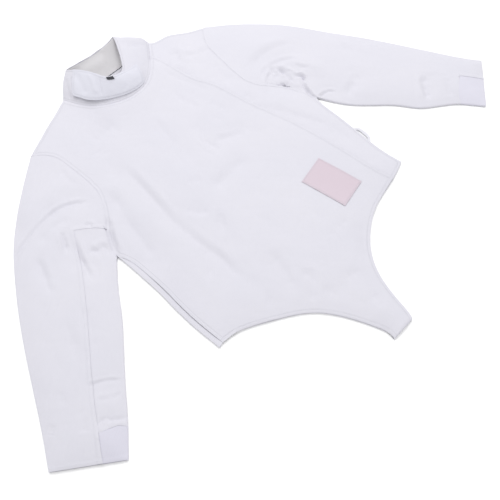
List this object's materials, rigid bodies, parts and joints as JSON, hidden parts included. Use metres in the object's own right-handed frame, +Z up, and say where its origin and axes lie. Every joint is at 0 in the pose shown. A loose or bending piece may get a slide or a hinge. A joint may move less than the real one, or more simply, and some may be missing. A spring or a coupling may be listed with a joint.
{
  "type": "fencing jacket",
  "caption": "White fencing jacket laid flat front up: stand collar with throat tab, side-opening front, crotch strap, set-in sleeves with knitted cuff gussets.",
  "frame": {"origin": "on the surface the jacket lies on, under the middle of the line between the two shoulder tips, on the flat underside of the back panel", "axes": "+X across the jacket towards the wearer's left, +Y up the body towards the neck, +Z up from the surface"},
  "size_m": [1.119, 0.8261, 0.0488],
  "materials": {
    "white_cloth": "dense matt twill, backed",
    "knitted_cuff": "matt rib knit",
    "pink_patch": "smooth plain weave",
    "black_label": "woven tape"
  },
  "bodies": {
    "root": {"back_panel": "white_cloth", "front_main": "white_cloth", "front_left": "white_cloth", "sleeve_right_upper": "white_cloth", "sleeve_right_under": "white_cloth", "cuff_right": "knitted_cuff", "sleeve_left_upper": "white_cloth", "sleeve_left_under": "white_cloth", "cuff_left": "knitted_cuff", "collar": "white_cloth", "throat_tab": "white_cloth", "neck_label": "black_label", "chest_patch": "pink_patch", "side_loop": "white_cloth"}
  },
  "joints": []
}
